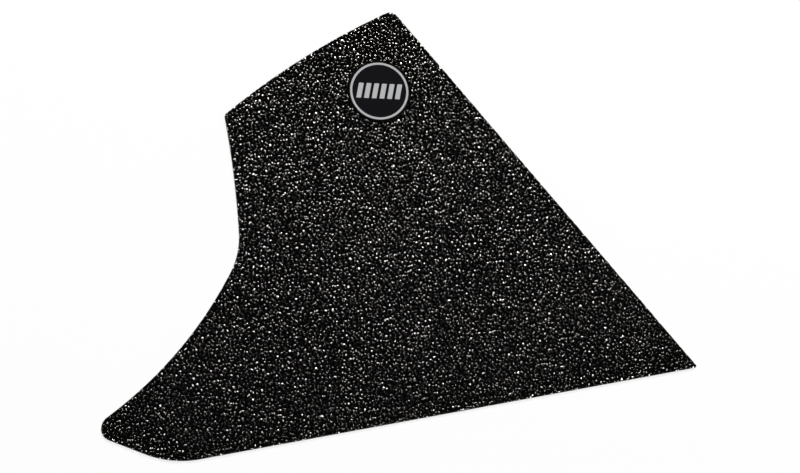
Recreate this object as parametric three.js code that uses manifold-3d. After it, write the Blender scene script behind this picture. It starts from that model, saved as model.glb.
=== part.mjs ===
// Motorcycle tank pad: one die-cut sheet of moulded black rubber that lies on its flat adhesive back.
// Its face is a pebble grain that runs off the cut edge, broken only by a smooth round badge with a
// raised ring and a band of plain slanted bars. The outline has a long straight lower edge, a straight
// slanting edge up to the peak, a bowed top edge, a waist and a rounded toe.
// Millimetres, +Z up, +X along the lower edge, origin under the middle of the outline's box.
import * as THREE from 'three';
import { mergeVertices } from 'three/addons/utils/BufferGeometryUtils.js';
import Module from 'manifold-3d';

// Corners of the outline, anticlockwise from the right-hand tip, measured from the toe's end and the
// lower edge. ease is the length of each side that the rounding takes, and bow is how far the side
// to the next corner swells outwards at its middle, or inwards where it is negative.
const CORNERS = {
  tip: { x: 249.9, y: 0, ease: 1.1, bow: 0 },
  peak: { x: 151.7, y: 173.8, ease: 3.1, bow: 2.8 },
  shoulder: { x: 72.4, y: 139.4, ease: 1.0, bow: -1.1 },
  waist: { x: 68.1, y: 80.6, ease: 8.8, bow: -6.8 },
  toe: { x: -5.6, y: 19, ease: 9.3, bow: 0 },
  heel: { x: 25.2, y: 0, ease: 11.6, bow: 0 },
};
const CHORD_ERROR = 0.05;

// The sheet and its grain. A nub is a low four-sided dome, and the creases between nubs lie on the
// sheet. Scatter and unevenness are shares of the lattice step and of the nub's height.
const SHEET_THICKNESS = 1.1;
const NUB_HEIGHT = 0.6;
const NUB_PITCH = 3.4;
const NUB_SCATTER = 0.3;
const NUB_UNEVENNESS = 0.25;
const GRAIN_SEED = 7;

// The badge: a smooth land level with the tallest nubs, its ring, and the bars that slant across it.
const BADGE_X = 139;
const BADGE_Y = 139.4;
const BADGE_TURN = -11.4;
const RING_DIAMETER = 25;
const RING_WIDTH = 1.05;
const LAND_MARGIN = 0.9;
const RELIEF = 0.15;
const BAR_COUNT = 6;
const BAR_WIDTH = 2.1;
const BAR_GAP = 1.2;
const BAR_LENGTH = 6.6;
const BAR_SLANT = 10;
const ROUND_STEPS = 72;

// How deep a badge feature is rooted in what carries it, so that the two join.
const ROOT = 0.4;

// The blank that the grain is moulded on: how far it runs past the outline, in lattice steps, and how
// far below the back it closes. Both are cut away.
const SPARE_STEPS = 2;
const BLANK_DEPTH = 400;

const LAND_TOP = SHEET_THICKNESS + NUB_HEIGHT;
const LAND_RADIUS = RING_DIAMETER / 2 + LAND_MARGIN;

const wasm = await Module();
wasm.setup();

// Number of straight facets that keep an arc of this length and turn within the chord error.
function facets(length, turn) {
  return Math.max(1, Math.ceil(Math.sqrt((length * Math.abs(turn)) / (8 * CHORD_ERROR))));
}

// One side as a shallow parabola, from the end of one corner's rounding to the start of the next.
function bowedSide(from, to) {
  const start = new THREE.Vector2(from.x, from.y);
  const chord = new THREE.Vector2(to.x, to.y).sub(start);
  const length = chord.length();
  const outward = new THREE.Vector2(chord.y, -chord.x).divideScalar(length);
  const rise = 4 * from.bow;
  const place = (t) => start.clone().addScaledVector(chord, t).addScaledVector(outward, rise * t * (1 - t));
  const heading = (t) => chord.clone().addScaledVector(outward, rise * (1 - 2 * t)).normalize();
  const first = from.ease / length;
  const last = 1 - to.ease / length;
  const turn = heading(first).angleTo(heading(last));
  const steps = facets(length, turn);
  const points = [];
  for (let step = 0; step <= steps; step++) {
    points.push(place(first + ((last - first) * step) / steps));
  }
  return { points, entry: heading(first), exit: heading(last) };
}

// The rounding between two sides: a conic that is a true arc where it takes equal lengths of both.
function roundedCorner(before, after) {
  const start = before.points.at(-1);
  const end = after.points[0];
  const bend = before.exit.cross(after.entry);
  const turn = Math.atan2(bend, before.exit.dot(after.entry));
  const reach = end.clone().sub(start).cross(after.entry) / bend;
  const corner = start.clone().addScaledVector(before.exit, reach);
  const steps = facets(start.distanceTo(end), turn);
  const points = [];
  for (let step = 1; step < steps; step++) {
    const t = step / steps;
    const pull = 2 * Math.cos(turn / 2) * t * (1 - t);
    const point = new THREE.Vector2();
    point.addScaledVector(start, (1 - t) ** 2).addScaledVector(corner, pull).addScaledVector(end, t ** 2);
    points.push(point.divideScalar((1 - t) ** 2 + pull + t ** 2));
  }
  return points;
}

function padOutline() {
  const corners = Object.values(CORNERS);
  const after = (list, i) => list[(i + 1) % list.length];
  const sides = corners.map((corner, i) => bowedSide(corner, after(corners, i)));
  return sides.flatMap((side, i) => [...side.points, ...roundedCorner(side, after(sides, i))]);
}

// A closed geometry as a solid that can be joined and cut.
function solid(geometry) {
  geometry.deleteAttribute('normal');
  geometry.deleteAttribute('uv');
  const merged = mergeVertices(geometry);
  const vertProperties = merged.getAttribute('position').array;
  const triVerts = new Uint32Array(merged.getIndex().array);
  return new wasm.Manifold(new wasm.Mesh({ numProp: 3, vertProperties, triVerts }));
}

// The grain over the whole box of the outline, on a lattice whose every second point is a nub. Each
// cell is creased between its two valley points, and one point far below closes the blank.
function grainBlank(box) {
  const step = NUB_PITCH / Math.SQRT2;
  const left = box.min.x - SPARE_STEPS * step;
  const front = box.min.y - SPARE_STEPS * step;
  const columns = Math.ceil((box.max.x - left) / step) + SPARE_STEPS;
  const rows = Math.ceil((box.max.y - front) / step) + SPARE_STEPS;
  const isNub = (column, row) => (column + row) % 2 === 0;
  const index = (column, row) => row * (columns + 1) + column;
  const scatter = () => (2 * THREE.MathUtils.seededRandom() - 1) * NUB_SCATTER * step;
  THREE.MathUtils.seededRandom(GRAIN_SEED);

  const vertices = [];
  for (let row = 0; row <= rows; row++) {
    for (let column = 0; column <= columns; column++) {
      const swell = 1 - NUB_UNEVENNESS * THREE.MathUtils.seededRandom();
      const height = isNub(column, row) ? NUB_HEIGHT * swell : 0;
      vertices.push(left + column * step + scatter(), front + row * step + scatter(), SHEET_THICKNESS + height);
    }
  }
  const centre = box.getCenter(new THREE.Vector2());
  vertices.push(centre.x, centre.y, -BLANK_DEPTH);
  const below = index(0, rows + 1);

  const faces = [];
  for (let row = 0; row < rows; row++) {
    for (let column = 0; column < columns; column++) {
      const corners = [
        index(column, row),
        index(column + 1, row),
        index(column + 1, row + 1),
        index(column, row + 1),
      ];
      const [a, b, c, d] = isNub(column, row) ? corners : [...corners.slice(1), corners[0]];
      faces.push(a, b, d, b, c, d);
    }
  }
  for (let column = 0; column < columns; column++) {
    faces.push(index(column + 1, 0), index(column, 0), below);
    faces.push(index(column, rows), index(column + 1, rows), below);
  }
  for (let row = 0; row < rows; row++) {
    faces.push(index(0, row), index(0, row + 1), below);
    faces.push(index(columns, row + 1), index(columns, row), below);
  }
  const geometry = new THREE.BufferGeometry();
  geometry.setAttribute('position', new THREE.Float32BufferAttribute(vertices, 3));
  geometry.setIndex(faces);
  return geometry;
}

// The grain blank cut to the outline, as the die cuts the moulded sheet.
function dieCutSheet(outline) {
  const die = new THREE.ExtrudeGeometry(new THREE.Shape(outline), {
    depth: LAND_TOP + ROOT,
    bevelEnabled: false,
  });
  const box = new THREE.Box2().setFromPoints(outline);
  return solid(grainBlank(box)).intersect(solid(die));
}

// Turns a badge feature to the badge's slope and sets it in its place on the sheet.
function onBadge(geometry) {
  return geometry.rotateZ(THREE.MathUtils.degToRad(BADGE_TURN)).translate(BADGE_X, BADGE_Y, 0);
}

function badgeLand() {
  const height = LAND_TOP - SHEET_THICKNESS + ROOT;
  const land = new THREE.CylinderGeometry(LAND_RADIUS, LAND_RADIUS, height, ROUND_STEPS);
  return onBadge(land.rotateX(Math.PI / 2).translate(0, 0, LAND_TOP - height / 2));
}

function badgeRing() {
  const outer = RING_DIAMETER / 2;
  const inner = outer - RING_WIDTH;
  const profile = [
    new THREE.Vector2(inner, LAND_TOP - ROOT),
    new THREE.Vector2(outer, LAND_TOP - ROOT),
    new THREE.Vector2(outer, LAND_TOP + RELIEF),
    new THREE.Vector2(inner, LAND_TOP + RELIEF),
    new THREE.Vector2(inner, LAND_TOP - ROOT),
  ];
  return onBadge(new THREE.LatheGeometry(profile, ROUND_STEPS).rotateX(Math.PI / 2));
}

function badgeBar(number) {
  const middle = (number - (BAR_COUNT - 1) / 2) * (BAR_WIDTH + BAR_GAP);
  const half = BAR_LENGTH / 2;
  const lean = half * Math.tan(THREE.MathUtils.degToRad(BAR_SLANT));
  const bar = new THREE.Shape([
    new THREE.Vector2(middle - lean - BAR_WIDTH / 2, -half),
    new THREE.Vector2(middle - lean + BAR_WIDTH / 2, -half),
    new THREE.Vector2(middle + lean + BAR_WIDTH / 2, half),
    new THREE.Vector2(middle + lean - BAR_WIDTH / 2, half),
  ]);
  const geometry = new THREE.ExtrudeGeometry(bar, { depth: ROOT + RELIEF, bevelEnabled: false });
  return onBadge(geometry.translate(0, 0, LAND_TOP - ROOT));
}

// A solid as three.js geometry, with the faces that come from printed features in a second group.
function paintedGeometry(part, printed) {
  const mesh = part.getMesh();
  const geometry = new THREE.BufferGeometry();
  geometry.setAttribute('position', new THREE.BufferAttribute(mesh.vertProperties, 3));
  geometry.setIndex(new THREE.BufferAttribute(mesh.triVerts, 1));
  mesh.runOriginalID.forEach((source, run) => {
    const start = mesh.runIndex[run];
    geometry.addGroup(start, mesh.runIndex[run + 1] - start, printed.has(source) ? 1 : 0);
  });
  const flat = geometry.toNonIndexed();
  flat.computeVertexNormals();
  return flat;
}

function gripPad() {
  const outline = padOutline();
  const features = [solid(badgeRing())];
  for (let number = 0; number < BAR_COUNT; number++) {
    features.push(solid(badgeBar(number)));
  }
  const printed = new Set(features.map((feature) => feature.originalID()));
  let part = dieCutSheet(outline).add(solid(badgeLand()));
  features.forEach((feature) => {
    part = part.add(feature);
  });
  const pad = new THREE.Mesh(paintedGeometry(part, printed), [blackRubber, silverPrint]);
  pad.name = 'grip_pad';
  const centre = new THREE.Box2().setFromPoints(outline).getCenter(new THREE.Vector2());
  pad.position.set(-centre.x, -centre.y, 0);
  return pad;
}

const blackRubber = new THREE.MeshStandardMaterial({
  name: 'black_rubber',
  color: 0x1c1c1e,
  roughness: 0.42,
  metalness: 0,
  flatShading: true,
});
const silverPrint = new THREE.MeshStandardMaterial({
  name: 'silver_print',
  color: 0xc9c9cc,
  roughness: 0.45,
  metalness: 0.3,
});

const tankPad = new THREE.Group();
tankPad.name = 'tank_pad';
tankPad.add(gripPad());

export default tankPad;
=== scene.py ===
"""Looks of a motorcycle tank pad: a die-cut sheet of pebble-grained black rubber with a smooth round badge.

Everything is in metres in the part's own frame: the back lies on z = 0, +X runs along the long straight
edge, and the origin is under the middle of the outline's box.
"""

import math
from collections import namedtuple

import bpy
import numpy as np
from mathutils import Matrix, Vector
from mathutils.geometry import delaunay_2d_cdt


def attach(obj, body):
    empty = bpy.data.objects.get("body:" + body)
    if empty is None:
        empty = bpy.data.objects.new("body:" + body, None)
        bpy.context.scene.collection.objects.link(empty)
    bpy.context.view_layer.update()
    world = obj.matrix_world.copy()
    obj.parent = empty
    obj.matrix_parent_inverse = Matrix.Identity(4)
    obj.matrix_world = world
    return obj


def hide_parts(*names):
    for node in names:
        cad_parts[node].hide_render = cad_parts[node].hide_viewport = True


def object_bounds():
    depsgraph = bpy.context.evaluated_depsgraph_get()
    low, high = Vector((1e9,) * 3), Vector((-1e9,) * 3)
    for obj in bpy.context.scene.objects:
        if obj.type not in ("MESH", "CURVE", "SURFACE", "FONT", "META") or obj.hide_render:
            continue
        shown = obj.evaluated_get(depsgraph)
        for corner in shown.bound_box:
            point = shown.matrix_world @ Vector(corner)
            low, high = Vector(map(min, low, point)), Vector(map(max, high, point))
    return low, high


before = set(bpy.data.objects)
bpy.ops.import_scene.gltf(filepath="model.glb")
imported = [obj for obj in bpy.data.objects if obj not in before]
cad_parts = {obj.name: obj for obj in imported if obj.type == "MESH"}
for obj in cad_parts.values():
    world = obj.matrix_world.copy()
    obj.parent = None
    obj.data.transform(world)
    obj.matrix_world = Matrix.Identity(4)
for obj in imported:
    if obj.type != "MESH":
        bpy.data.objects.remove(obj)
cad_low, cad_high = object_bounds()

MM = 0.001
PAD_NODE = "grip_pad"

# The outline's corners, anticlockwise from the right-hand tip, in millimetres from the toe's end and
# the lower edge. ease is the length of each side that the rounding takes, and bow is how far the side
# to the next corner swells outwards at its middle, or inwards where it is negative.
Corner = namedtuple("Corner", "x y ease bow")
CORNERS = [
    Corner(249.9, 0.0, 1.1, 0.0),
    Corner(151.7, 173.8, 3.1, 2.8),
    Corner(72.4, 139.4, 1.0, -1.1),
    Corner(68.1, 80.6, 8.8, -6.8),
    Corner(-5.6, 19.0, 9.3, 0.0),
    Corner(25.2, 0.0, 11.6, 0.0),
]

# The fewest steps that a side and a rounded corner are divided into.
LEAST_SIDE_STEPS = 2
LEAST_CORNER_STEPS = 6

# The sheet and its pebbles, in millimetres. Each spread is the share of its size that chance takes away.
PEBBLE_ROOT = 1.1
PEBBLE_PITCH = 1.335
PEBBLE_JITTER = 0.55
PEBBLE_REACH = 1.05
PEBBLE_REACH_SPREAD = 0.42
PEBBLE_HEIGHT = 0.6
PEBBLE_HEIGHT_SPREAD = 0.45
PEBBLE_STRETCH = 0.38
CREASE_SHARES = (0.32, 0.38, 0.44, 0.5, 0.56, 0.62, 0.68)
GRAIN_SEED = 11

# How far a pebble's skin swells out of its facets halfway down, and falls back by the crease.
CUSHION_SWELL = 0.10
CUSHION_FALL = 0.12

# The mesh attribute that is 1 on the pebbles' tops, 0 in the creases between them and on the badge's land,
# and in between at the foot of the land. It shapes the pebbles' cushion and marks where the painted shade
# goes.
CROWN = "crown"
FOOT_CROWN = 0.5

# The spacing of the points on the cut edge and the badge's land, the bare strip inside them, and which
# of the rim's points bound that strip.
RIM_STEP = 0.45
RIM_STRIP = 0.24
STRIP_EVERY = 2

# What the triangulation fills, and how near two points are the same point.
FILL_HULL = 0
FILL_LOOP = 1
SAME_POINT = 1e-6

# The badge, in millimetres and degrees.
BADGE_X = 139.0
BADGE_Y = 139.4
BADGE_TURN = -11.4
RING_DIAMETER = 25.0
RING_WIDTH = 0.95
RING_POINTS = 240
LAND_MARGIN = 0.9
LAND_TOP = 1.7
LAND_FOOT = 1.3
LAND_SHOULDER = 0.22
LAND_RADIUS = RING_DIAMETER / 2.0 + LAND_MARGIN
RELIEF = 0.15
RELIEF_EDGE = 0.05
BAR_COUNT = 6
BAR_WIDTH = 2.1
BAR_GAP = 1.2
BAR_LENGTH = 6.6
BAR_SLANT = 10.0
BAR_CORNER = 0.25
BAR_CORNER_POINTS = 6

# The order of the finishes on the sheet's mesh.
SKIN_FINISH, LAND_FINISH, CUT_FINISH, BACK_FINISH = range(4)

# The noises of the finishes: grains per metre, levels of detail, and how strong the finer levels are.
Grain = namedtuple("Grain", "per_metre detail roughness")
SKIN_TOOTH = Grain(3200.0, 3.0, 0.6)
SKIN_PATCHES = Grain(60.0, 2.0, 0.5)
LAND_TOOTH = Grain(3800.0, 2.0, 0.5)
BLADE_DRAG = Grain(1800.0, 2.0, 0.6)
FILM_PEEL = Grain(420.0, 2.0, 0.5)
FILM_CLOUDS = Grain(38.0, 3.0, 0.6)
FILM_ROLLS = Grain(320.0, 3.0, 0.6)
INK_FLAKE = Grain(5200.0, 1.0, 0.5)
INK_CLOUDS = Grain(260.0, 2.0, 0.5)

# The finishes: the darkest and lightest colour, the least roughness and what its noise adds, the depth
# of the relief in metres, the strength of the relief, and the level of the gloss.
Finish = namedtuple("Finish", "dark light rough rough_more depth strength gloss")
SKIN = Finish((0.0007, 0.0006, 0.0006), (0.0017, 0.0016, 0.0015), 0.15, 0.04, MM, 1.0, 0.5)
LAND = Finish((0.0052, 0.0052, 0.0066), (0.0080, 0.0080, 0.0100), 0.06, 0.02, 0.000001, 0.5, 0.3)
CUT = Finish((0.0070, 0.0068, 0.0066), (0.0150, 0.0145, 0.0140), 0.62, 0.15, 0.00005, 0.5, 0.35)
FILM = Finish((0.022, 0.022, 0.023), (0.050, 0.050, 0.051), 0.30, 0.10, 0.00008, 0.5, 0.5)
INK = Finish((0.33, 0.33, 0.335), (0.41, 0.41, 0.415), 0.60, 0.14, 0.00001, 0.4, 0.5)

# The pebbles' skin: the depth of its tooth in millimetres, the warm tint of its gloss, the black of the matt
# painted shade in its creases, and the crown values between which the painted shade gives way to the gloss.
SKIN_TOOTH_DEPTH = 0.003
SKIN_TINT = (1.0, 0.95, 0.89, 1.0)
CREASE_PAINTED_SHADE = (0.0012, 0.0011, 0.0011, 1.0)
GLOSS_SETS_IN = (0.05, 0.3)

# How far the blade's drag lines and the film's roll lines are drawn out, along z and along x.
DRAG_DRAWN_OUT = (1.0, 1.0, 0.08)
ROLLS_DRAWN_OUT = (0.03, 1.0, 1.0)

# The film: what share of its tone each noise has, the roughness that the clouds add, and their contrast.
FILM_CLOUD_SHARE = 0.35
FILM_ROLL_SHARE = 0.40
FILM_PEEL_SHARE = 0.25
FILM_CLOUD_ROUGH = 0.12
FILM_CONTRAST = (0.36, 0.64)

# The ink: what share of its tone each noise has, and how metallic it is.
INK_FLAKE_SHARE = 0.6
INK_CLOUD_SHARE = 0.4
INK_METALLIC = 0.1

# The photograph's viewpoint, as degrees round and above the part, and the point at the picture's middle.
CAMERA_AZIMUTH = -48.50
CAMERA_ELEVATION = 74.685
CAMERA_ROLL = 38.02
CAMERA_DISTANCE = 0.8567
CAMERA_AIM = Vector((0.01058, -0.01029, 0.0014))
CAMERA_LENS = 92.25
CAMERA_SENSOR = 36.0
CAMERA_NEAR = 0.05
CAMERA_FAR = 20.0

# The square softbox, in degrees, metres and watts.
LAMP_AZIMUTH = 158.0
LAMP_ELEVATION = 57.0
LAMP_DISTANCE = 2.6
LAMP_SIDE = 0.353
LAMP_WATTS = 78.0

# The paper under the pad: its colour, the share of even white that the camera sees in it, half its width
# and how far it lies below the back.
WHITE = (1.0, 1.0, 1.0, 1.0)
PAPER_WHITE = (0.92, 0.92, 0.92, 1.0)
PAPER_GLOW = 0.84
PAPER_HALF = 3.0
PAPER_DROP = 0.00002

# The pale room: its level at the horizon, how far that falls overhead, and the height where it is lowest.
ROOM_HORIZON = 1.2
ROOM_FALL = 1.19
ROOM_HEIGHT = 0.42


class Wire:
    """An output of a shader node that can stand in Python expressions."""

    def __init__(self, sheet, socket):
        self.sheet = sheet
        self.socket = socket

    def math(self, operation, first, second):
        return self.sheet.node("ShaderNodeMath", {"operation": operation}, {0: first, 1: second})

    def __add__(self, other):
        return self.math("ADD", self, other)

    __radd__ = __add__

    def __sub__(self, other):
        return self.math("SUBTRACT", self, other)

    def __rsub__(self, other):
        return self.math("SUBTRACT", other, self)

    def __mul__(self, other):
        return self.math("MULTIPLY", self, other)

    __rmul__ = __mul__

    def ramp(self, low, high):
        """0 below low, 1 above high and a smooth step between."""
        return self.sheet.node(
            "ShaderNodeMapRange",
            {"interpolation_type": "SMOOTHSTEP"},
            {"Value": self, "From Min": low, "From Max": high},
        )


class NodeSheet:
    """The node tree of one finish or of the world, built by expressions."""

    def __init__(self, owner):
        owner.use_nodes = True
        self.tree = owner.node_tree
        self.tree.nodes.clear()

    def node(self, kind, settings=None, inputs=None, output=0):
        made = self.tree.nodes.new(kind)
        for name, value in (settings or {}).items():
            setattr(made, name, value)
        for key, value in (inputs or {}).items():
            if isinstance(value, Wire):
                self.tree.links.new(value.socket, made.inputs[key])
            else:
                made.inputs[key].default_value = value
        return Wire(self, made.outputs[output])

    def place(self):
        return self.node("ShaderNodeTexCoord", output="Object")

    def drawn_out(self, place, scale):
        return self.node("ShaderNodeMapping", {}, {"Vector": place, "Scale": scale})

    def noise(self, place, grain):
        inputs = {
            "Vector": place,
            "Scale": grain.per_metre,
            "Detail": grain.detail,
            "Roughness": grain.roughness,
        }
        return self.node("ShaderNodeTexNoise", {}, inputs)

    def blend(self, share, first, second):
        inputs = {0: share, 6: (*first, 1.0), 7: (*second, 1.0)}
        return self.node("ShaderNodeMix", {"data_type": "RGBA"}, inputs, output=2)

    def bump(self, height, distance, strength):
        return self.node("ShaderNodeBump", {}, {"Height": height, "Distance": distance, "Strength": strength})

    def coat(self, look, tone, roughness, relief, more=None):
        """A surface whose colour follows tone from the look's darkest to its lightest."""
        inputs = {
            "Base Color": self.blend(tone, look.dark, look.light),
            "Roughness": roughness,
            "Normal": self.bump(relief, look.depth, look.strength),
            "Specular IOR Level": look.gloss,
            **(more or {}),
        }
        return self.node("ShaderNodeBsdfPrincipled", {}, inputs)

    def surface(self, shader, kind="ShaderNodeOutputMaterial"):
        self.tree.links.new(shader.socket, self.tree.nodes.new(kind).inputs["Surface"])


def new_finish(name):
    finish = bpy.data.materials.new(name)
    return finish, NodeSheet(finish)


def pebble_rubber():
    """Glossy moulded skin over flat-topped pebbles, with a fine leathery tooth, and painted shade in the
    creases: matt black with no gloss.
    """
    finish, sheet = new_finish("pebble_rubber")
    place = sheet.place()
    tooth = sheet.noise(place, SKIN_TOOTH)
    patches = sheet.noise(place, SKIN_PATCHES)
    crown = sheet.node("ShaderNodeAttribute", {"attribute_name": CROWN}, output="Fac")
    outward = (1.0 - crown) * (1.0 - crown)
    cushion = CUSHION_SWELL * outward - CUSHION_FALL * outward * outward
    roughness = SKIN.rough + SKIN.rough_more * tooth
    relief = cushion + SKIN_TOOTH_DEPTH * tooth
    skin = sheet.coat(SKIN, patches, roughness, relief, {"Specular Tint": SKIN_TINT})
    # Painted shade: where the crown is low, the skin gives way to a matt black with no gloss at all.
    painted_shade = sheet.node("ShaderNodeBsdfDiffuse", {}, {"Color": CREASE_PAINTED_SHADE})
    glossy = crown.ramp(*GLOSS_SETS_IN)
    sheet.surface(sheet.node("ShaderNodeMixShader", {}, {0: glossy, 1: painted_shade, 2: skin}))
    return finish


def smooth_rubber():
    """The badge's land: satin black with a trace of mould texture."""
    finish, sheet = new_finish("smooth_rubber")
    tooth = sheet.noise(sheet.place(), LAND_TOOTH)
    sheet.surface(sheet.coat(LAND, tooth, LAND.rough + LAND.rough_more * tooth, tooth))
    return finish


def cut_rubber():
    """The die-cut edge: matt, with faint upright drag lines from the blade."""
    finish, sheet = new_finish("cut_rubber")
    drag = sheet.noise(sheet.drawn_out(sheet.place(), DRAG_DRAWN_OUT), BLADE_DRAG)
    sheet.surface(sheet.coat(CUT, drag, CUT.rough + CUT.rough_more * drag, drag))
    return finish


def adhesive_film():
    """The back: a charcoal film of adhesive with faint roll lines and a slight orange-peel gloss."""
    finish, sheet = new_finish("adhesive_film")
    place = sheet.place()
    peel = sheet.noise(place, FILM_PEEL)
    clouds = sheet.noise(place, FILM_CLOUDS).ramp(*FILM_CONTRAST)
    rolls = sheet.noise(sheet.drawn_out(place, ROLLS_DRAWN_OUT), FILM_ROLLS).ramp(*FILM_CONTRAST)
    tone = FILM_CLOUD_SHARE * clouds + FILM_ROLL_SHARE * rolls + FILM_PEEL_SHARE * peel
    roughness = FILM.rough + FILM_CLOUD_ROUGH * clouds + FILM.rough_more * peel
    sheet.surface(sheet.coat(FILM, tone, roughness, peel))
    return finish


def silver_print():
    """The ring and bars: satin silver with a fine sparkle of flake."""
    finish, sheet = new_finish("silver_print")
    place = sheet.place()
    flake = sheet.noise(place, INK_FLAKE)
    clouds = sheet.noise(place, INK_CLOUDS)
    tone = INK_FLAKE_SHARE * flake + INK_CLOUD_SHARE * clouds
    roughness = INK.rough + INK.rough_more * flake
    sheet.surface(sheet.coat(INK, tone, roughness, flake, {"Metallic": INK_METALLIC}))
    return finish


def bowed_side(start, end, step):
    """Points of one side as a shallow parabola, between the roundings of its two corners."""
    a = np.array([start.x, start.y])
    b = np.array([end.x, end.y])
    chord = b - a
    length = np.hypot(*chord)
    outward = np.array([chord[1], -chord[0]]) / length
    count = max(LEAST_SIDE_STEPS, int(round(length / step)))
    t = np.linspace(start.ease / length, 1.0 - end.ease / length, count + 1)[:, None]
    points = a + chord * t + outward * 4.0 * start.bow * t * (1.0 - t)
    heading = chord + outward * 4.0 * start.bow * (1.0 - 2.0 * t)
    return points, heading[0], heading[-1]


def cross2(a, b):
    return a[0] * b[1] - a[1] * b[0]


def rounded_corner(before, after, step):
    """The arc between two sides, without its end points, which belong to the sides."""
    start, out = before[0][-1], before[2]
    end, back = after[0][0], after[1]
    corner = start + out * cross2(end - start, back) / cross2(out, back)
    turn = math.atan2(cross2(out, back), np.dot(out, back))
    length = np.hypot(*(corner - start)) + np.hypot(*(end - corner))
    count = max(LEAST_CORNER_STEPS, int(round(length / step)))
    t = np.linspace(0.0, 1.0, count + 1)[1:-1, None]
    pull = 2.0 * math.cos(turn / 2.0) * t * (1.0 - t)
    weighted = (1.0 - t) ** 2 * start + pull * corner + t ** 2 * end
    return weighted / ((1.0 - t) ** 2 + pull + t ** 2)


def pad_outline(step):
    """The outline as one closed loop of points about a step apart, and its box's middle, in millimetres."""
    following = CORNERS[1:] + CORNERS[:1]
    sides = [bowed_side(a, b, step) for a, b in zip(CORNERS, following)]
    stretches = []
    for side, after in zip(sides, sides[1:] + sides[:1]):
        stretches += [side[0], rounded_corner(side, after, step)]
    loop = np.vstack(stretches)
    return loop, (loop.min(0) + loop.max(0)) / 2.0


def inside_outline(points, outline):
    """Even-odd test of many points against the outline."""
    inside = np.zeros(len(points), bool)
    x, y = points[:, 0], points[:, 1]
    for a, b in zip(outline, np.roll(outline, -1, axis=0)):
        if a[1] == b[1]:
            continue
        crosses = (a[1] > y) != (b[1] > y)
        inside ^= crosses & (x < a[0] + (y - a[1]) * (b[0] - a[0]) / (b[1] - a[1]))
    return inside


def inset_loop(loop, depth):
    """The loop moved inwards by a depth, along the normals at its points."""
    along = np.roll(loop, -1, axis=0) - np.roll(loop, 1, axis=0)
    along /= np.hypot(along[:, 0], along[:, 1])[:, None]
    inward = np.column_stack([-along[:, 1], along[:, 0]])
    return loop + inward * depth


def circle(centre, radius, step):
    count = int(round(2.0 * math.pi * radius / step))
    angle = np.arange(count) * 2.0 * math.pi / count
    return centre + radius * np.column_stack([np.cos(angle), np.sin(angle)])


def triangulated(points, edges, fill):
    """The triangulation of some points with given edges: its points, edges, faces and the points' sources."""
    return delaunay_2d_cdt([Vector(p) for p in points], edges, [], fill, SAME_POINT)[:4]


class PebbleField:
    """Irregular domes on a jittered honeycomb lattice that covers the sheet with a border to spare."""

    BORDER = 4
    NEAR = (-2, -1, 0, 1, 2)

    def __init__(self, low, high):
        chance = np.random.default_rng(GRAIN_SEED)
        self.row_pitch = PEBBLE_PITCH * math.sqrt(3.0) / 2.0
        self.start = low - self.BORDER * np.array([PEBBLE_PITCH, self.row_pitch])
        span = high - low
        rows = int(span[1] / self.row_pitch) + 2 * self.BORDER
        columns = int(span[0] / PEBBLE_PITCH) + 2 * self.BORDER
        row, column = np.indices((rows, columns))
        self.shape = np.array([rows, columns])
        self.x = self.start[0] + (column + (row % 2) / 2.0) * PEBBLE_PITCH
        self.y = self.start[1] + row * self.row_pitch
        self.x += PEBBLE_JITTER * chance.uniform(-1.0, 1.0, self.x.shape)
        self.y += PEBBLE_JITTER * chance.uniform(-1.0, 1.0, self.x.shape)
        self.angle = math.pi * chance.random(self.x.shape)
        self.stretch = 1.0 + PEBBLE_STRETCH * chance.uniform(-1.0, 1.0, self.x.shape)
        self.reach = PEBBLE_REACH * (1.0 - PEBBLE_REACH_SPREAD * chance.random(self.x.shape))
        self.tall = PEBBLE_HEIGHT * (1.0 - PEBBLE_HEIGHT_SPREAD * chance.random(self.x.shape))

    def height(self, points):
        """The tallest of the domes near each point."""
        row = np.round((points[:, 1] - self.start[1]) / self.row_pitch).astype(int)
        best = np.zeros(len(points))
        for row_step in self.NEAR:
            j = np.clip(row + row_step, 0, self.shape[0] - 1)
            lead = (j % 2) / 2.0
            column = np.round((points[:, 0] - self.start[0]) / PEBBLE_PITCH - lead).astype(int)
            for column_step in self.NEAR:
                i = np.clip(column + column_step, 0, self.shape[1] - 1)
                best = np.maximum(best, self.dome(points, (j, i)))
        return best

    def dome(self, points, which):
        dx, dy = points[:, 0] - self.x[which], points[:, 1] - self.y[which]
        cosine, sine = np.cos(self.angle[which]), np.sin(self.angle[which])
        along = (dx * cosine + dy * sine) / self.stretch[which]
        across = (dy * cosine - dx * sine) * self.stretch[which]
        fall = 1.0 - (along ** 2 + across ** 2) / self.reach[which] ** 2
        return self.tall[which] * np.maximum(fall, 0.0)

    def tops(self):
        return np.column_stack([self.x.ravel(), self.y.ravel()])

    def creases(self):
        """The lowest point between each dome and each of its neighbours, and the middle of each three."""
        tops = self.tops()
        _, neighbours, threes, _ = triangulated(tops, [], FILL_HULL)
        ends = tops[np.array(neighbours)]
        between, lowest = ends.mean(1), np.full(len(ends), np.inf)
        for share in CREASE_SHARES:
            tried = ends[:, 0] * (1.0 - share) + ends[:, 1] * share
            tall = self.height(tried)
            lower = tall < lowest
            between[lower], lowest[lower] = tried[lower], tall[lower]
        return np.vstack([between, [tops[list(three)].mean(0) for three in threes]])


def new_piece(name, vertices, faces, finishes, smooth=True):
    mesh = bpy.data.meshes.new(name)
    mesh.from_pydata([tuple(v) for v in vertices], [], [tuple(f) for f in faces])
    for finish in finishes:
        mesh.materials.append(finish)
    mesh.polygons.foreach_set("use_smooth", [smooth] * len(mesh.polygons))
    piece = bpy.data.objects.new(name, mesh)
    bpy.context.scene.collection.objects.link(piece)
    return piece


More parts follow.
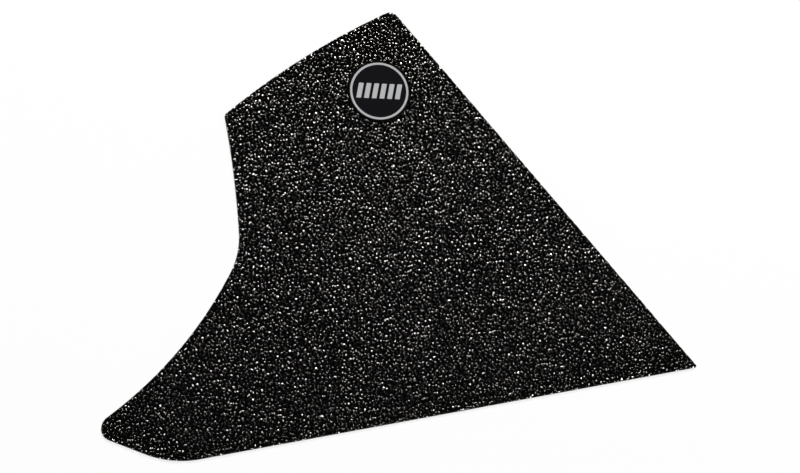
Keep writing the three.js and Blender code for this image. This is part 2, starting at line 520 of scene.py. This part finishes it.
def sheet_face_points(outline, badge, pebbles):
    """Points and constrained edges of the grained face, and the number of points before the creases'."""
    loops = [outline]
    for inset in (0.0, LAND_SHOULDER / 2.0, LAND_SHOULDER, LAND_SHOULDER + RIM_STRIP):
        loops.append(circle(badge, LAND_RADIUS - inset, RIM_STEP))
    edges = []
    first = 0
    for loop in loops:
        count = len(loop)
        edges += [(first + i, first + (i + 1) % count) for i in range(count)]
        first += count
    strip = inset_loop(outline[::STRIP_EVERY], RIM_STRIP)
    grains = []
    for grain in (pebbles.tops(), pebbles.creases()):
        off_land = np.hypot(*(grain - badge).T) > LAND_RADIUS + RIM_STRIP
        grains.append(grain[inside_outline(grain, strip) & off_land])
    return np.vstack([*loops, *grains]), edges, first + len(grains[0])


def face_heights(points, badge, pebbles):
    """The points' heights, how far each is up the shoulder of the badge's land, and which are on the land."""
    away = np.hypot(*(points - badge).T)
    height = PEBBLE_ROOT + pebbles.height(points)
    shoulder = np.clip((LAND_RADIUS - away) / LAND_SHOULDER, 0.0, 1.0)
    rounded = np.sqrt(1.0 - (1.0 - shoulder) ** 2)
    on_land = away <= LAND_RADIUS + SAME_POINT
    height[on_land] = LAND_FOOT + (LAND_TOP - LAND_FOOT) * rounded[on_land]
    return height, shoulder, on_land


def cut_edge_faces(rim, origin, foot):
    """Faces of the cut edge, from the face's rim points down to the back's, which begin at foot."""
    rim_vertex = np.empty(rim, int)
    for vertex, source in enumerate(origin):
        if source < rim:
            rim_vertex[source] = vertex
    faces = []
    for i in range(rim):
        j = (i + 1) % rim
        faces.append((rim_vertex[j], rim_vertex[i], foot + i, foot + j))
    return faces


def back_faces(outline, foot):
    """Faces of the flat back, turned to look down."""
    rim = len(outline)
    edges = [(i, (i + 1) % rim) for i in range(rim)]
    _, _, faces, sources = triangulated(outline, edges, FILL_LOOP)
    return [tuple(foot + sources[v][0] for v in reversed(face)) for face in faces]


def pad_skin(outline, badge):
    """The whole sheet as one closed mesh: grained face, badge land, die-cut edge and flat back."""
    pebbles = PebbleField(outline.min(0), outline.max(0))
    points, edges, first_crease = sheet_face_points(outline, badge, pebbles)
    face_points, _, top, sources = triangulated(points, edges, FILL_LOOP)
    face_points = np.array([tuple(p) for p in face_points])
    origin = np.array([ids[0] for ids in sources])
    height, shoulder, on_land = face_heights(face_points, badge, pebbles)
    vertices = [(x, y, z) for (x, y), z in zip(face_points, height)]
    foot = len(vertices)
    vertices += [(x, y, 0.0) for x, y in outline]
    edge = cut_edge_faces(len(outline), origin, foot)
    back = back_faces(outline, foot)
    finishes = [pebble_rubber(), smooth_rubber(), cut_rubber(), adhesive_film()]
    piece = new_piece("pad_skin", np.array(vertices) * MM, [*top, *edge, *back], finishes)
    middle = np.array([face_points[list(face)].mean(0) for face in top])
    smooth = np.hypot(*(middle - badge).T) < LAND_RADIUS - LAND_SHOULDER - RIM_STRIP
    finish = np.where(smooth, LAND_FINISH, SKIN_FINISH)
    finish = np.concatenate([finish, np.full(len(edge), CUT_FINISH), np.full(len(back), BACK_FINISH)])
    piece.data.polygons.foreach_set("material_index", finish.astype(np.int32))
    in_crease = np.zeros(len(vertices), bool)
    in_crease[:foot] = origin >= first_crease
    sharpen(piece.data, finish, in_crease)
    # Crown 0 puts painted shade, matt black with no gloss, on the creases and on the land's shoulder and the
    # strip inside it that lies outside the smooth finish.
    crown = np.where(in_crease, 0.0, 1.0)
    crown[:foot][on_land] = np.where(shoulder[on_land] > 0.0, 0.0, FOOT_CROWN)
    piece.data.attributes.new(CROWN, "FLOAT", "POINT").data.foreach_set("value", crown)
    return piece


def sharpen(mesh, finish, in_crease):
    """Marks as sharp the creases, and the edges between the face, the cut edge and the back."""
    zone = np.where(finish == LAND_FINISH, SKIN_FINISH, finish)
    loop_edge = np.zeros(len(mesh.loops), np.int32)
    mesh.loops.foreach_get("edge_index", loop_edge)
    totals = np.zeros(len(mesh.polygons), np.int32)
    mesh.polygons.foreach_get("loop_total", totals)
    loop_zone = np.repeat(zone, totals)
    lowest = np.full(len(mesh.edges), BACK_FINISH)
    highest = np.full(len(mesh.edges), SKIN_FINISH)
    np.minimum.at(lowest, loop_edge, loop_zone)
    np.maximum.at(highest, loop_edge, loop_zone)
    ends = np.zeros(2 * len(mesh.edges), np.int32)
    mesh.edges.foreach_get("vertices", ends)
    crease = in_crease[ends[0::2]] & in_crease[ends[1::2]]
    sharp = mesh.attributes.new("sharp_edge", "BOOLEAN", "EDGE")
    sharp.data.foreach_set("value", crease | (lowest != highest))


def badge_place(badge):
    turn = Matrix.Rotation(math.radians(BADGE_TURN), 4, "Z")
    return Matrix.Translation((badge[0] * MM, badge[1] * MM, LAND_TOP * MM)) @ turn


def raised_outline(name, loop, finish, place):
    """A printed shape: its loop stands on the land, rises to a small bevel and closes flat on top."""
    count = len(loop)
    bevel = inset_loop(loop, RELIEF_EDGE)
    levels = [(loop, -RELIEF_EDGE), (loop, RELIEF - RELIEF_EDGE), (bevel, RELIEF)]
    vertices = [(x, y, z) for ring, z in levels for x, y in ring]
    faces = []
    for level in range(len(levels) - 1):
        low, high = level * count, (level + 1) * count
        for i in range(count):
            j = (i + 1) % count
            faces.append((low + i, low + j, high + j, high + i))
    faces.append(tuple(range(count))[::-1])
    faces.append(tuple(range(2 * count, 3 * count)))
    piece = new_piece(name, np.array(vertices) * MM, faces, [finish], smooth=False)
    piece.data.transform(place)
    return piece


def badge_ring(finish, place):
    """The silver ring, turned from a flat profile with softened edges."""
    outer, inner = RING_DIAMETER / 2.0, RING_DIAMETER / 2.0 - RING_WIDTH
    profile = [
        (inner, -RELIEF_EDGE),
        (outer, -RELIEF_EDGE),
        (outer, RELIEF - RELIEF_EDGE),
        (outer - RELIEF_EDGE, RELIEF),
        (inner + RELIEF_EDGE, RELIEF),
        (inner, RELIEF - RELIEF_EDGE),
    ]
    angle = np.arange(RING_POINTS) * 2.0 * math.pi / RING_POINTS
    vertices = [(r * math.cos(a), r * math.sin(a), z) for a in angle for r, z in profile]
    sides = len(profile)
    faces = []
    for i in range(RING_POINTS):
        here, there = i * sides, (i + 1) % RING_POINTS * sides
        for k in range(sides):
            m = (k + 1) % sides
            faces.append((here + k, here + m, there + m, there + k))
    piece = new_piece("badge_ring", np.array(vertices) * MM, faces, [finish], smooth=False)
    piece.data.transform(place)
    return piece


def bar_loop(number):
    """A slanted bar with rounded corners, in the badge's own plane."""
    middle = (number - (BAR_COUNT - 1) / 2.0) * (BAR_WIDTH + BAR_GAP)
    half = BAR_LENGTH / 2.0
    lean = half * math.tan(math.radians(BAR_SLANT))
    corners = np.array([
        (middle - lean - BAR_WIDTH / 2.0, -half),
        (middle - lean + BAR_WIDTH / 2.0, -half),
        (middle + lean + BAR_WIDTH / 2.0, half),
        (middle + lean - BAR_WIDTH / 2.0, half),
    ])
    loop = []
    for i, corner in enumerate(corners):
        before = corners[i - 1] - corner
        after = corners[(i + 1) % len(corners)] - corner
        start = corner + before / np.hypot(*before) * BAR_CORNER
        end = corner + after / np.hypot(*after) * BAR_CORNER
        for t in np.linspace(0.0, 1.0, BAR_CORNER_POINTS):
            loop.append((1.0 - t) ** 2 * start + 2.0 * t * (1.0 - t) * corner + t ** 2 * end)
    return np.array(loop)


def look_from(azimuth, elevation, distance, roll=0.0):
    """Placing of a camera or lamp that stands round and above the part and looks at it."""
    a, e = math.radians(azimuth), math.radians(elevation)
    back = Vector((math.sin(a) * math.cos(e), -math.cos(a) * math.cos(e), math.sin(e)))
    right = Vector((math.cos(a), math.sin(a), 0.0))
    up = back.cross(right)
    turn = Matrix((right, up, back)).transposed() @ Matrix.Rotation(math.radians(roll), 3, "Z")
    return Matrix.Translation(CAMERA_AIM + distance * back) @ turn.to_4x4()


def add_camera():
    data = bpy.data.cameras.new("camera")
    data.sensor_width = CAMERA_SENSOR
    data.lens = CAMERA_LENS
    data.clip_start = CAMERA_NEAR
    data.clip_end = CAMERA_FAR
    camera = bpy.data.objects.new("camera", data)
    camera.matrix_world = look_from(CAMERA_AZIMUTH, CAMERA_ELEVATION, CAMERA_DISTANCE, CAMERA_ROLL)
    bpy.context.scene.collection.objects.link(camera)
    bpy.context.scene.camera = camera


def add_softbox():
    """The one lamp, which draws the glints on the pebbles."""
    data = bpy.data.lights.new("key", "AREA")
    data.shape = "RECTANGLE"
    data.size = LAMP_SIDE
    data.size_y = LAMP_SIDE
    data.energy = LAMP_WATTS
    lamp = bpy.data.objects.new("key", data)
    lamp.matrix_world = look_from(LAMP_AZIMUTH, LAMP_ELEVATION, LAMP_DISTANCE)
    bpy.context.scene.collection.objects.link(lamp)


def add_floor():
    """White paper under the pad: mostly even white, with enough plain paper in it to hold the shadow."""
    finish, sheet = new_finish("white_paper")
    seen = sheet.node("ShaderNodeLightPath", output="Is Camera Ray")
    paper = sheet.node("ShaderNodeBsdfDiffuse", {}, {"Color": PAPER_WHITE})
    glow = sheet.node("ShaderNodeEmission", {}, {"Color": WHITE, "Strength": 1.0})
    sheet.surface(sheet.node("ShaderNodeMixShader", {}, {0: PAPER_GLOW * seen, 1: paper, 2: glow}))
    signs = ((-1, -1), (1, -1), (1, 1), (-1, 1))
    corners = [(x * PAPER_HALF, y * PAPER_HALF, -PAPER_DROP) for x, y in signs]
    floor = new_piece("floor", corners, [range(len(corners))], [finish], smooth=False)


def set_world():
    """A pale room: bright towards the horizon and below, dim overhead, and white where the camera sees it."""
    world = bpy.data.worlds.new("pale_room")
    bpy.context.scene.world = world
    sheet = NodeSheet(world)
    direction = sheet.node("ShaderNodeTexCoord", output="Generated")
    rise = sheet.node("ShaderNodeSeparateXYZ", {}, {0: direction}, output="Z")
    level = ROOM_HORIZON - ROOM_FALL * rise.ramp(0.0, ROOM_HEIGHT)
    seen = sheet.node("ShaderNodeLightPath", output="Is Camera Ray")
    strength = seen + (1.0 - seen) * level
    light = sheet.node("ShaderNodeBackground", {}, {"Color": WHITE, "Strength": strength})
    sheet.surface(light, "ShaderNodeOutputWorld")


def build():
    outline, centre = pad_outline(RIM_STEP)
    outline = np.clip(outline - centre, np.array(cad_low[:2]) / MM, np.array(cad_high[:2]) / MM)
    badge = np.array([BADGE_X, BADGE_Y]) - centre
    silver = silver_print()
    place = badge_place(badge)
    pieces = [pad_skin(outline, badge), badge_ring(silver, place)]
    for number in range(BAR_COUNT):
        pieces.append(raised_outline(f"badge_bar_{number + 1}", bar_loop(number), silver, place))
    for piece in pieces:
        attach(piece, "root")
        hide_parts(PAD_NODE)
    add_camera()
    add_softbox()
    add_floor()
    set_world()
    bpy.context.scene.view_settings.view_transform = "Standard"


build()
